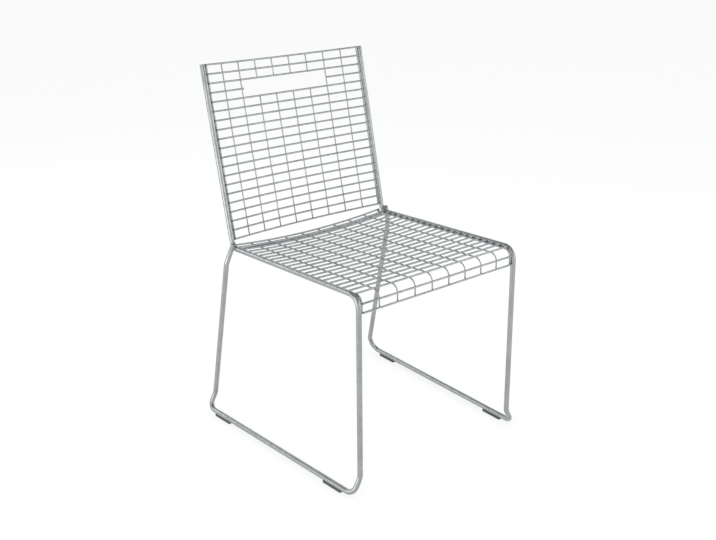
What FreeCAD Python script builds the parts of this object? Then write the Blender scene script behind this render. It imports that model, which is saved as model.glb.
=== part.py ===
"""Wire mesh chair: two bent rod side frames that carry a welded mesh back and seat.

Millimetres, +Z up, +X across the chair, and the sitter faces -Y. The origin is the middle of the
overall outline, on the floor. Round stock is drawn with flats that touch the true circle.
"""
import FreeCAD, Part
import math
import os

Vector = FreeCAD.Vector

# Steel stock
rod_diameter = 11.5
side_wire_diameter = 5.0
cross_wire_diameter = 4.0
long_wire_diameter = 3.0
stay_diameter = 5.0
weld_sink = 0.3
rod_flat_count = 10
side_wire_flat_count = 8
mesh_wire_flat_count = 6

# Side frames, upper part
frame_half_width = 218.5
rear_corner_y = 196.0
rear_corner_height = 420.8
back_lean_angle = 12.9
seat_slope_angle = 2.1
seat_rail_length = 430.2
rear_corner_radius = 22.0
front_corner_radius = 26.0

# Side frames, legs and floor rails
floor_rail_height = 10.5
floor_corner_radius = 20.0
rail_front_y = -240.0
rail_front_half_width = 237.8
rail_rear_y = 270.0
rail_rear_half_width = 258.3
knee_height = 45.0
knee_radius = 25.0
front_knee_y = -238.8
rear_knee_y = 266.1
rear_knee_half_width = 241.0
leg_bend_setback = 1.0
leg_bend_drop = 31.8
leg_bend_half_width = 238.2
leg_bend_radius = 40.0
leg_end_setback = 7.5
leg_end_rise = 11.2
leg_end_cope = 7.5

# Back mesh
back_pitch = 20.0
back_wire_count = 20
back_first_rise = 18.7
back_bow = 24.0
mesh_column_count = 9

# Hand slot in the back
slot_wire_number = 4
slot_whole_column_count = 2
slot_stub = 2.5

# Seat mesh and its apron
seat_pitch = 20.0
seat_wire_count = 22
seat_overhang = 4.8
seat_sag = 11.0
mesh_rear_drop = 0.6
mesh_front_drop = 2.0
mesh_bend_radius = 16.0
apron_wire_count = 2
apron_last_pitch = 18.5
apron_wire_inset = 2.5
stay_forward = 9.0

# Glides under the floor rails
glide_length = 55.0
glide_width = 10.4
glide_clearance = 0.3
glide_chamfer = 1.5
front_glide_offset = 36.0
rear_glide_offset = 31.0

# Values worked out from the sizes above
rod_radius = rod_diameter / 2
side_wire_radius = side_wire_diameter / 2
cross_wire_radius = cross_wire_diameter / 2
long_wire_radius = long_wire_diameter / 2
stay_radius = stay_diameter / 2
side_wire_half_width = frame_half_width - rod_radius - side_wire_radius
cross_wire_half_length = frame_half_width - rod_radius
cross_wire_lift = side_wire_radius + cross_wire_radius - weld_sink
long_wire_gap = cross_wire_radius + long_wire_radius - weld_sink
long_wire_lift = cross_wire_lift - long_wire_gap
upright_length = back_first_rise + (back_wire_count - 1) * back_pitch + cross_wire_radius

# Directions in the chair's middle plane
lean = math.radians(back_lean_angle)
slope = math.radians(seat_slope_angle)
up_back = Vector(0, math.sin(lean), math.cos(lean))
off_back = Vector(0, -math.cos(lean), math.sin(lean))
along_seat = Vector(0, -math.cos(slope), math.sin(slope))
off_seat = Vector(0, math.sin(slope), math.cos(slope))
rear_corner = Vector(0, rear_corner_y, rear_corner_height)
front_corner = rear_corner + along_seat * seat_rail_length
down_leg = (Vector(0, front_knee_y, knee_height) - front_corner).normalize()
off_leg = Vector(0, down_leg.z, -down_leg.y)
front_turn = along_seat.getAngle(down_leg)
mesh_rear = rear_corner - off_seat * mesh_rear_drop
mesh_corner = front_corner - (along_seat * math.tan(front_turn / 2) + off_seat) * mesh_front_drop
along_mesh = (mesh_corner - mesh_rear).normalize()
off_mesh = Vector(0, along_mesh.z, -along_mesh.y)
mesh_turn = along_mesh.getAngle(down_leg)


# Bars and wires

def section(centre, tangent, facing, radius, flats):
    """Face square to the tangent, with one flat turned towards the facing direction."""
    first = (facing - tangent * facing.dot(tangent)).normalize()
    second = tangent.cross(first)
    corner_radius = radius / math.cos(math.pi / flats)
    corners = []
    for index in range(flats + 1):
        angle = (index + 0.5) * 2 * math.pi / flats
        corners.append(centre + (first * math.cos(angle) + second * math.sin(angle)) * corner_radius)
    return Part.Face(Part.makePolygon(corners))


def bar(path, facing, radius, flats):
    """Solid of a bar or wire that follows the path."""
    edge = path.Edges[0]
    start = edge.valueAt(edge.FirstParameter)
    tangent = edge.tangentAt(edge.FirstParameter)
    return path.makePipe(section(start, tangent, facing, radius, flats))


def rounded_path(points, radii):
    """Path through the points, with an arc of its own radius at each inner one."""
    edges = []
    start = points[0]
    for before, corner, after, radius in zip(points, points[1:], points[2:], radii):
        back = (before - corner).normalize()
        ahead = (after - corner).normalize()
        half_turn = (math.pi - back.getAngle(ahead)) / 2
        reach = radius * math.tan(half_turn)
        inward = (back + ahead).normalize()
        middle = corner + inward * (radius / math.cos(half_turn) - radius)
        edges.append(Part.LineSegment(start, corner + back * reach).toShape())
        edges.append(Part.Arc(corner + back * reach, middle, corner + ahead * reach).toShape())
        start = corner + ahead * reach
    edges.append(Part.LineSegment(start, points[-1]).toShape())
    return Part.Wire(edges)


def straight_path(start, end):
    return Part.Wire([Part.LineSegment(start, end).toShape()])


def moved_out(point, x):
    """The point of the middle plane, moved across the chair to x."""
    return Vector(x, point.y, point.z)


def cross_bar(middle, half_length, facing, bow, radius, flats):
    """Bar across the chair; its middle lies the bow behind its ends, seen from the facing side."""
    start = moved_out(middle, -half_length)
    end = moved_out(middle, half_length)
    path = straight_path(start, end)
    if bow > 0:
        path = Part.Wire([Part.Arc(start, middle - facing * bow, end).toShape()])
    return bar(path, facing, radius, flats)


def arc_radius(bow):
    """Radius of a cross wire with the given bow."""
    return (cross_wire_half_length ** 2 + bow ** 2) / (2 * bow)


def bow_at(x, bow):
    """Distance of a bowed cross wire from its chord, at x."""
    radius = arc_radius(bow)
    return math.sqrt(radius ** 2 - x ** 2) - (radius - bow)


def column_x(column):
    """Place across the chair of a lengthwise wire; column 1 is the left one."""
    return cross_wire_half_length * (2 * column / mesh_column_count - 1)


# Side frames

def side_frame(side):
    """One rod: upright, seat rail, front leg, floor rail and rear leg, welded to its own rear corner."""
    leg_end_half_width = frame_half_width + rod_diameter - leg_end_cope
    leg_end = rear_corner + Vector(side * leg_end_half_width, -leg_end_setback, leg_end_rise)
    rear_knee = Vector(side * rear_knee_half_width, rear_knee_y, knee_height)
    leg_bend = rear_corner + Vector(side * leg_bend_half_width, -leg_bend_setback, -leg_bend_drop)
    leg_middle = (rear_knee + leg_bend) / 2
    main_points = [
        moved_out(rear_corner + up_back * upright_length, side * frame_half_width),
        moved_out(rear_corner, side * frame_half_width),
        moved_out(front_corner, side * frame_half_width),
        Vector(side * frame_half_width, front_knee_y, knee_height),
        Vector(side * rail_front_half_width, rail_front_y, floor_rail_height),
        Vector(side * rail_rear_half_width, rail_rear_y, floor_rail_height),
        rear_knee,
        leg_middle,
    ]
    main_radii = [
        rear_corner_radius,
        front_corner_radius,
        knee_radius,
        floor_corner_radius,
        floor_corner_radius,
        knee_radius,
    ]
    main = bar(rounded_path(main_points, main_radii), Vector(side, 0, 0), rod_radius, rod_flat_count)
    end_path = rounded_path([leg_middle, leg_bend, leg_end], [leg_bend_radius])
    end = bar(end_path, Vector(side, 0, 0), rod_radius, rod_flat_count)
    return main.fuse(end)


# Back mesh

def back_wire_middle(number):
    """Middle of a back cross wire's chord; number 1 is the top wire."""
    rise = back_first_rise + (back_wire_count - number) * back_pitch
    return rear_corner + up_back * rise + off_back * cross_wire_lift


def back_side_wire(side):
    """Wire welded to the inner side of the upright, beside the whole back mesh."""
    x = side * side_wire_half_width
    foot = moved_out(rear_corner + up_back * (back_first_rise - cross_wire_radius), x)
    top = moved_out(rear_corner + up_back * upright_length, x)
    return bar(straight_path(foot, top), off_back, side_wire_radius, side_wire_flat_count)


def back_cross_wire(number):
    """Bowed wire across the back; the one at the hand slot is left as two stubs."""
    middle = back_wire_middle(number)
    half_length = cross_wire_half_length
    whole = cross_bar(middle, half_length, off_back, back_bow, cross_wire_radius, mesh_wire_flat_count)
    if number != slot_wire_number:
        return whole
    slot_half_width = -column_x(slot_whole_column_count) - slot_stub
    slot = Part.makeBox(2 * slot_half_width, 2 * half_length, 2 * half_length)
    slot.translate(middle - Vector(slot_half_width, half_length, half_length))
    return whole.cut(slot)


def back_long_wire(column):
    """Wire behind the back cross wires; the middle ones stop above and below the hand slot."""
    x = column_x(column)
    from_centre = Vector(x, 0, 0) - off_back * math.sqrt(arc_radius(back_bow) ** 2 - x ** 2)
    facing = from_centre.normalize()
    shift = Vector(x, 0, 0) - off_back * bow_at(x, back_bow) + facing * long_wire_gap
    spans = [(1, back_wire_count)]
    if slot_whole_column_count < column < mesh_column_count - slot_whole_column_count:
        spans = [(1, slot_wire_number - 1), (slot_wire_number + 1, back_wire_count)]
    wires = []
    for upper, lower in spans:
        top = back_wire_middle(upper) + up_back * cross_wire_radius + shift
        foot = back_wire_middle(lower) - up_back * cross_wire_radius + shift
        wires.append(bar(straight_path(foot, top), facing, long_wire_radius, mesh_wire_flat_count))
    return Part.Compound(wires)


# Seat mesh

def seat_rear_end(lift):
    """Rear end of a line that runs the lift above the seat side wires' axis."""
    return mesh_rear - along_mesh * seat_overhang + off_mesh * lift


def seat_front_corner(lift):
    """Corner of the same line, where it turns down into the apron."""
    spread = along_mesh * math.tan(mesh_turn / 2) + off_mesh
    return mesh_corner + spread * lift


def seat_place(number):
    """Distance of a seat or apron wire from the rear one, along the side wires."""
    last = seat_wire_count + apron_wire_count
    if number == last:
        return (last - 2) * seat_pitch + apron_last_pitch
    return (number - 1) * seat_pitch


def seat_frame_at(number, lift):
    """Point and outward direction on a line over the seat, round the bend and down the apron."""
    distance = seat_place(number)
    corner = seat_front_corner(lift)
    reach = (mesh_bend_radius + lift) * math.tan(mesh_turn / 2)
    straight = (corner - seat_rear_end(lift)).Length - reach
    angle = (distance - straight) / mesh_bend_radius
    if angle <= 0:
        return seat_rear_end(lift) + along_mesh * distance, off_mesh
    if angle >= mesh_turn:
        fall = distance - straight - mesh_bend_radius * mesh_turn
        return corner + down_leg * (reach + fall), off_leg
    centre = corner - along_mesh * reach - off_mesh * (mesh_bend_radius + lift)
    outward = off_mesh * math.cos(angle) + along_mesh * math.sin(angle)
    return centre + outward * (mesh_bend_radius + lift), outward


def seat_path(x, lift, rear_drop):
    """Path along the seat, over the front bend and down to the lower apron wire."""
    foot = seat_frame_at(seat_wire_count + apron_wire_count, lift)[0]
    points = [
        moved_out(seat_rear_end(lift) - along_mesh * cross_wire_radius - off_mesh * rear_drop, x),
        moved_out(seat_front_corner(lift), x),
        moved_out(foot + down_leg * cross_wire_radius, x),
    ]
    return rounded_path(points, [mesh_bend_radius + lift])


def sag_at(number):
    """Sag of a seat cross wire, which fades towards the front corner."""
    full_run = (seat_front_corner(0) - seat_rear_end(0)).Length
    return seat_sag * (1 - seat_place(number) / full_run)


def seat_side_wire(side):
    """Wire beside the seat rail, from the rear seat wire over the bend to the lower apron wire."""
    path = seat_path(side * side_wire_half_width, 0, 0)
    return bar(path, off_mesh, side_wire_radius, side_wire_flat_count)


def seat_cross_wire(number):
    middle, facing = seat_frame_at(number, cross_wire_lift)
    half_length = cross_wire_half_length
    return cross_bar(middle, half_length, facing, sag_at(number), cross_wire_radius, mesh_wire_flat_count)


def apron_wire(number):
    """Straight wire across the front, below the bend."""
    middle, facing = seat_frame_at(seat_wire_count + number, cross_wire_lift)
    half_length = cross_wire_half_length - apron_wire_inset
    return cross_bar(middle, half_length, facing, 0, cross_wire_radius, mesh_wire_flat_count)


def seat_long_wire(column):
    """Wire below the seat cross wires, bent down behind the apron wires."""
    x = column_x(column)
    path = seat_path(x, long_wire_lift, bow_at(x, seat_sag))
    return bar(path, off_mesh, long_wire_radius, mesh_wire_flat_count)


def rear_seat_stay():
    """Stay under the side wires and the lengthwise wires, just ahead of the rear seat wire."""
    below = side_wire_radius + stay_radius - weld_sink
    middle = seat_rear_end(-below) + along_mesh * stay_forward
    slack = below + long_wire_lift - (long_wire_radius + stay_radius - weld_sink)
    bow = seat_sag * (1 - stay_forward / seat_place(seat_wire_count)) - slack
    return cross_bar(middle, cross_wire_half_length, off_mesh, bow, stay_radius, side_wire_flat_count)


# Glides

def glide(side, end):
    """Saddle shoe under a floor rail, on which the chair stands; end is front or rear."""
    front = Vector(side * rail_front_half_width, rail_front_y, floor_rail_height)
    rear = Vector(side * rail_rear_half_width, rail_rear_y, floor_rail_height)
    along = (rear - front).normalize()
    across = along.cross(Vector(0, 0, 1))
    start = front + along * front_glide_offset
    if end == "rear":
        start = rear - along * (rear_glide_offset + glide_length)
    bore_radius = rod_radius + glide_clearance
    outer = glide_width / 2
    outline = [
        (-outer, 0),
        (-outer, glide_chamfer - floor_rail_height),
        (glide_chamfer - outer, -floor_rail_height),
        (outer - glide_chamfer, -floor_rail_height),
        (outer, glide_chamfer - floor_rail_height),
        (outer, 0),
        (-outer, 0),
    ]
    corners = [start + across * sideways + Vector(0, 0, rise) for sideways, rise in outline]
    block = Part.Face(Part.makePolygon(corners)).extrude(along * glide_length)
    bore = section(start, along, across, bore_radius, rod_flat_count).extrude(along * glide_length)
    return block.cut(bore)


# The whole chair

def all_parts():
    """Each node's name and shape."""
    parts = {}
    for side, word in ((-1, "left"), (1, "right")):
        parts["side_frame_" + word] = side_frame(side)
        parts["back_side_wire_" + word] = back_side_wire(side)
        parts["seat_side_wire_" + word] = seat_side_wire(side)
        for end in ("front", "rear"):
            parts["glide_" + end + "_" + word] = glide(side, end)
    for number in range(1, back_wire_count + 1):
        parts["back_cross_wire_%02d" % number] = back_cross_wire(number)
    for column in range(1, mesh_column_count):
        parts["back_long_wire_%d" % column] = back_long_wire(column)
        parts["seat_long_wire_%d" % column] = seat_long_wire(column)
    for number in range(1, seat_wire_count, 2):
        pair = [seat_cross_wire(number), seat_cross_wire(number + 1)]
        parts["seat_cross_wires_%02d_%02d" % (number, number + 1)] = Part.Compound(pair)
    for number in range(1, apron_wire_count + 1):
        parts["apron_wire_%d" % number] = apron_wire(number)
    parts["rear_seat_stay"] = rear_seat_stay()
    return parts


def centred(parts):
    """The same parts, with the middle of their overall outline at X 0 and Y 0."""
    box = FreeCAD.BoundBox()
    for shape in parts.values():
        box.add(shape.optimalBoundingBox())
    offset = Vector(-box.Center.x, -box.Center.y, -box.ZMin)
    return {name: shape.translated(offset) for name, shape in parts.items()}


os.makedirs("parts", exist_ok=True)
for name, shape in centred(all_parts()).items():
    shape.exportStep("parts/" + name + ".step")
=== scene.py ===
"""Wire mesh chair: round rods and wires, weld beads, floor shoes and finishes."""
import logging
import math
from dataclasses import dataclass, field
from enum import Enum
from typing import Any, Iterable, Sequence

import bmesh
import bpy
from mathutils import Matrix, Vector


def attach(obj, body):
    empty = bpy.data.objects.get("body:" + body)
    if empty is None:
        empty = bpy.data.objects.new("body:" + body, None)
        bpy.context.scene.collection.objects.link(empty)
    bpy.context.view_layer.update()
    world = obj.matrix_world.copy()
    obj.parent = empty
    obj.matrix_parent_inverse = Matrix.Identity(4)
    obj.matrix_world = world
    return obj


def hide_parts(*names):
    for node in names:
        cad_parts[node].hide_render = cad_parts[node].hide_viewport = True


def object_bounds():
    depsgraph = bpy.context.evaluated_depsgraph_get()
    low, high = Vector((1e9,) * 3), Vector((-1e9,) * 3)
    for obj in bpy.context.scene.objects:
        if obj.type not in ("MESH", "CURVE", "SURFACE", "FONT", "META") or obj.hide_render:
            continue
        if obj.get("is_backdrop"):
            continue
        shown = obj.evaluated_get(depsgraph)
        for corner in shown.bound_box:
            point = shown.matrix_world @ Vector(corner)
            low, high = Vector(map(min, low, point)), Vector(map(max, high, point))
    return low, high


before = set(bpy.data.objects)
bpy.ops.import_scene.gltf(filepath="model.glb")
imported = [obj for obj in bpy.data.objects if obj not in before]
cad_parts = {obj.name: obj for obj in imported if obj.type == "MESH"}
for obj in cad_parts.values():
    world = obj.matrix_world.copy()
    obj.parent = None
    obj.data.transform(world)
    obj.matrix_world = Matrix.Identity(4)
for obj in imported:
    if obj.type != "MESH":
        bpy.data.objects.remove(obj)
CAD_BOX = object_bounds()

LOG = logging.getLogger("wire_mesh_chair")
MM = 0.001
WHITE = (1.0, 1.0, 1.0, 1.0)
BUMP_STRENGTH = 0.6
NOISE_ROUGHNESS = 0.55

# Edges from this angle on are shaded sharp, in degrees
SHARP_ANGLE = 50.0

# Longest straight run between two points of a path, in millimetres
LONGEST_RUN = 60.0

# The eased edge of a cut end: its length as a share of the radius, and the girths at places
# that are shares of that length
CUT_EASE = 0.12
CUT_GIRTHS = (0.88, 0.965, 1.0)
CUT_PLACES = (0.0, 0.35, 1.0)

# What feeds a node; a path; a path with the girth at each point; a weld's place, run and
# outward direction
Links = dict[str | int, Any]
Path = list[Vector]
Bar = tuple[Path, list[float]]
Spot = tuple[Vector, Vector, Vector]


class Side(Enum):
    """Which half of the chair a piece belongs to, as the sign of X."""

    LEFT = -1
    RIGHT = 1

    @property
    def word(self) -> str:
        """The word that stands in the node names."""
        return self.name.lower()


class End(Enum):
    """Which end of a floor rail a shoe sits under."""

    FRONT = "front"
    REAR = "rear"


def added(
    tree: bpy.types.NodeTree,
    kind: str,
    links: Links | None = None,
    **settings: Any,
) -> bpy.types.Node:
    """Add a node to a tree.

    Args:
        tree: Material, world or geometry tree.
        kind: Node type.
        links: What feeds each input, by its name or place: a socket, or a plain value.
        **settings: Properties of the node itself.

    Returns:
        The new node.
    """
    node = tree.nodes.new(kind)
    for key, value in settings.items():
        setattr(node, key, value)
    for key, value in (links or {}).items():
        if isinstance(value, bpy.types.NodeSocket):
            tree.links.new(value, node.inputs[key])
        else:
            node.inputs[key].default_value = value
    return node


# Finishes

@dataclass(frozen=True)
class Finish:
    """A surface finish that builds its own node material.

    Attributes:
        name: Name of the material.
        slot: Material slot of the record that the finish stands for.
    """

    name: str
    slot: str

    def material(self) -> bpy.types.Material:
        """Find the finish's material, or build it the first time.

        Returns:
            The material.
        """
        found = bpy.data.materials.get(self.name)
        if found is not None:
            return found
        made = bpy.data.materials.new(self.name)
        made.use_nodes = True
        made.node_tree.nodes.clear()
        self.build(made.node_tree)
        return made

    def build(self, tree: bpy.types.NodeTree) -> None:
        """Fill the node tree of the material; each kind of finish has its own."""
        raise NotImplementedError


def linked_noise(
    tree: bpy.types.NodeTree,
    vector: bpy.types.NodeSocket,
    size: tuple[float, float, float],
    detail: float,
) -> bpy.types.NodeSocket:
    """Add a noise whose cells measure about the given size.

    Args:
        tree: Material tree that gets the nodes.
        vector: Coordinates in metres.
        size: Cell size along each coordinate, in metres.
        detail: Octaves of the noise.

    Returns:
        The noise value socket, from 0 to 1.
    """
    scale = tuple(1.0 / length for length in size)
    mapping = added(tree, "ShaderNodeMapping", {"Vector": vector, "Scale": scale})
    noise = added(tree, "ShaderNodeTexNoise", {
        "Vector": mapping.outputs["Vector"],
        "Scale": 1.0,
        "Detail": detail,
        "Roughness": NOISE_ROUGHNESS,
    })
    return noise.outputs["Fac"]


def spread(
    tree: bpy.types.NodeTree,
    value: bpy.types.NodeSocket,
    low: float,
    high: float,
    within: tuple[float, float] = (0.3, 0.7),
) -> bpy.types.NodeSocket:
    """Map a noise value onto a range.

    Args:
        tree: Material tree that gets the node.
        value: Value to map.
        low: Result at the lower bound.
        high: Result at the upper bound.
        within: Bounds of the value.

    Returns:
        The mapped value socket.
    """
    node = added(tree, "ShaderNodeMapRange", {
        "Value": value,
        "From Min": within[0],
        "From Max": within[1],
        "To Min": low,
        "To Max": high,
    })
    return node.outputs["Result"]


def tinted(
    tree: bpy.types.NodeTree,
    value: bpy.types.NodeSocket,
    dark: tuple[float, float, float],
    light: tuple[float, float, float],
) -> bpy.types.NodeSocket:
    """Blend two colours by a value.

    Args:
        tree: Material tree that gets the node.
        value: Blend value, from 0 to 1.
        dark: Colour at 0.
        light: Colour at 1.

    Returns:
        The colour socket.
    """
    ramp = added(tree, "ShaderNodeValToRGB", {"Fac": value})
    for stop, colour in zip(ramp.color_ramp.elements, (dark, light)):
        stop.color = (*colour, 1.0)
    return ramp.outputs["Color"]


def stacked_bump(
    tree: bpy.types.NodeTree,
    layers: Iterable[tuple[bpy.types.NodeSocket, float]],
) -> bpy.types.NodeSocket:
    """Chain bumps of several heights.

    Args:
        tree: Material tree that gets the nodes.
        layers: Pairs of a height value and its depth in metres.

    Returns:
        The normal socket of the last bump.
    """
    normal = None
    for height, depth in layers:
        fed = {"Strength": BUMP_STRENGTH, "Distance": depth, "Height": height}
        if normal is not None:
            fed["Normal"] = normal
        normal = added(tree, "ShaderNodeBump", fed).outputs["Normal"]
    return normal


@dataclass(frozen=True)
class ZincSteel(Finish):
    """Drawn steel with a smooth, satin zinc coat and fine drawing marks along the wire.

    Attributes:
        dull: Darker tone of the coat.
        bright: Lighter tone of the coat.
        tone_range: Noise values at which the two tones stand.
        roughness: Smoothest and roughest gloss of the coat.
        metallic: How far the coat reflects as metal.
        cloud_size: Size of the broad patches, in metres.
        bloom_size: Size of the small patches, in metres.
        speck_size: Size of the fine speckle, in metres.
        bloom_share: Share of the small patches in the tone.
        mark_width: Width of a drawing mark around the wire, in metres.
        mark_length: Length of a drawing mark, in metres.
        relief: Depths of small patches, speckle and drawing marks, in metres.
    """

    dull: tuple[float, float, float] = (0.3, 0.317, 0.321)
    bright: tuple[float, float, float] = (0.4, 0.417, 0.421)
    tone_range: tuple[float, float] = (0.36, 0.64)
    roughness: tuple[float, float] = (0.24, 0.38)
    metallic: float = 0.88
    cloud_size: float = 0.045
    bloom_size: float = 0.007
    speck_size: float = 0.0009
    bloom_share: float = 0.42
    mark_width: float = 0.0005
    mark_length: float = 0.03
    relief: tuple[float, float, float] = (0.000012, 0.000005, 0.000012)

    def build(self, tree: bpy.types.NodeTree) -> None:
        """Fill the node tree: mottled zinc, fine speckle and drawing marks.

        Args:
            tree: The material's empty node tree.
        """
        place = added(tree, "ShaderNodeTexCoord").outputs["Object"]
        cloud = linked_noise(tree, place, (self.cloud_size,) * 3, 4.0)
        bloom = linked_noise(tree, place, (self.bloom_size,) * 3, 3.0)
        speck = linked_noise(tree, place, (self.speck_size,) * 3, 2.0)
        flow = added(tree, "ShaderNodeAttribute", attribute_name="flow")
        mark_size = (self.mark_width, self.mark_width, self.mark_length)
        marks = linked_noise(tree, flow.outputs["Vector"], mark_size, 2.0)
        blend = added(tree, "ShaderNodeMix", {"Factor": self.bloom_share, "A": cloud, "B": bloom})
        tone = spread(tree, blend.outputs["Result"], 0.0, 1.0, self.tone_range)
        shader = added(tree, "ShaderNodeBsdfPrincipled", {
            "Base Color": tinted(tree, tone, self.dull, self.bright),
            "Roughness": spread(tree, bloom, self.roughness[1], self.roughness[0]),
            "Metallic": self.metallic,
            "Normal": stacked_bump(tree, zip((bloom, speck, marks), self.relief)),
        })
        added(tree, "ShaderNodeOutputMaterial", {"Surface": shader.outputs["BSDF"]})


@dataclass(frozen=True)
class WeldSteel(Finish):
    """Weld metal under the same zinc coat: rippled, lighter and less glossy.

    Attributes:
        dull: Darker tone of the bead.
        bright: Lighter tone of the bead.
        roughness: Smoothest and roughest gloss of the bead.
        metallic: How far the bead reflects as metal.
        patch_size: Size of the patches of tone, in metres.
        ripple_size: Size of the ripple, in metres.
        relief: Depths of patches and ripple, in metres.
    """

    dull: tuple[float, float, float] = (0.36, 0.38, 0.383)
    bright: tuple[float, float, float] = (0.47, 0.49, 0.493)
    roughness: tuple[float, float] = (0.36, 0.56)
    metallic: float = 0.85
    patch_size: float = 0.004
    ripple_size: float = 0.0007
    relief: tuple[float, float] = (0.00005, 0.00004)

    def build(self, tree: bpy.types.NodeTree) -> None:
        """Fill the node tree: patchy tone and a coarse ripple.

        Args:
            tree: The material's empty node tree.
        """
        place = added(tree, "ShaderNodeTexCoord").outputs["Object"]
        patch = linked_noise(tree, place, (self.patch_size,) * 3, 3.0)
        ripple = linked_noise(tree, place, (self.ripple_size,) * 3, 3.0)
        shader = added(tree, "ShaderNodeBsdfPrincipled", {
            "Base Color": tinted(tree, spread(tree, patch, 0.0, 1.0), self.dull, self.bright),
            "Roughness": spread(tree, ripple, *self.roughness),
            "Metallic": self.metallic,
            "Normal": stacked_bump(tree, zip((patch, ripple), self.relief)),
        })
        added(tree, "ShaderNodeOutputMaterial", {"Surface": shader.outputs["BSDF"]})


@dataclass(frozen=True)
class ShoePlastic(Finish):
    """Dark grey moulded plastic, scuffed where it stands on the floor.

    Attributes:
        body: Colour of the clean plastic.
        scuffed: Colour of the worn lower edge.
        wear_height: Height over which the wear fades, in metres.
        scuff_size: Size of a scuff across, along and up the shoe, in metres.
        scuff_range: Noise values between which a scuff grows.
        grain_size: Size of the moulded grain, in metres.
        roughness: Smoothest and roughest gloss of the plastic.
        relief: Depths of grain and scuffs, in metres.
    """

    body: tuple[float, float, float] = (0.052, 0.055, 0.056)
    scuffed: tuple[float, float, float] = (0.13, 0.132, 0.13)
    wear_height: float = 0.0035
    scuff_size: tuple[float, float, float] = (0.0008, 0.006, 0.0012)
    scuff_range: tuple[float, float] = (0.45, 0.62)
    grain_size: float = 0.0004
    roughness: tuple[float, float] = (0.42, 0.6)
    relief: tuple[float, float] = (0.00004, 0.00003)

    def build(self, tree: bpy.types.NodeTree) -> None:
        """Fill the node tree: fine moulded grain and pale scuffs near the floor.

        Args:
            tree: The material's empty node tree.
        """
        place = added(tree, "ShaderNodeTexCoord").outputs["Object"]
        split = added(tree, "ShaderNodeSeparateXYZ", {"Vector": place})
        low = spread(tree, split.outputs["Z"], 1.0, 0.0, (0.0, self.wear_height))
        scuff = linked_noise(tree, place, self.scuff_size, 4.0)
        grain = linked_noise(tree, place, (self.grain_size,) * 3, 2.0)
        shown = spread(tree, scuff, 0.0, 1.0, self.scuff_range)
        worn = added(tree, "ShaderNodeMath", {0: low, 1: shown}, operation="MULTIPLY")
        shader = added(tree, "ShaderNodeBsdfPrincipled", {
            "Base Color": tinted(tree, worn.outputs["Value"], self.body, self.scuffed),
            "Roughness": spread(tree, grain, *self.roughness),
            "Normal": stacked_bump(tree, zip((grain, scuff), self.relief)),
        })
        added(tree, "ShaderNodeOutputMaterial", {"Surface": shader.outputs["BSDF"]})


ROD_ZINC = ZincSteel("zinc_steel_rod", "rod_steel")
WIRE_ZINC = ZincSteel("zinc_steel_wire", "wire_steel", roughness=(0.27, 0.42), mark_width=0.0003)
WELD_ZINC = WeldSteel("zinc_steel_weld", "rod_steel")
SHOE_GREY = ShoePlastic("shoe_plastic_grey", "glide_plastic")


# Geometry Nodes

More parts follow.
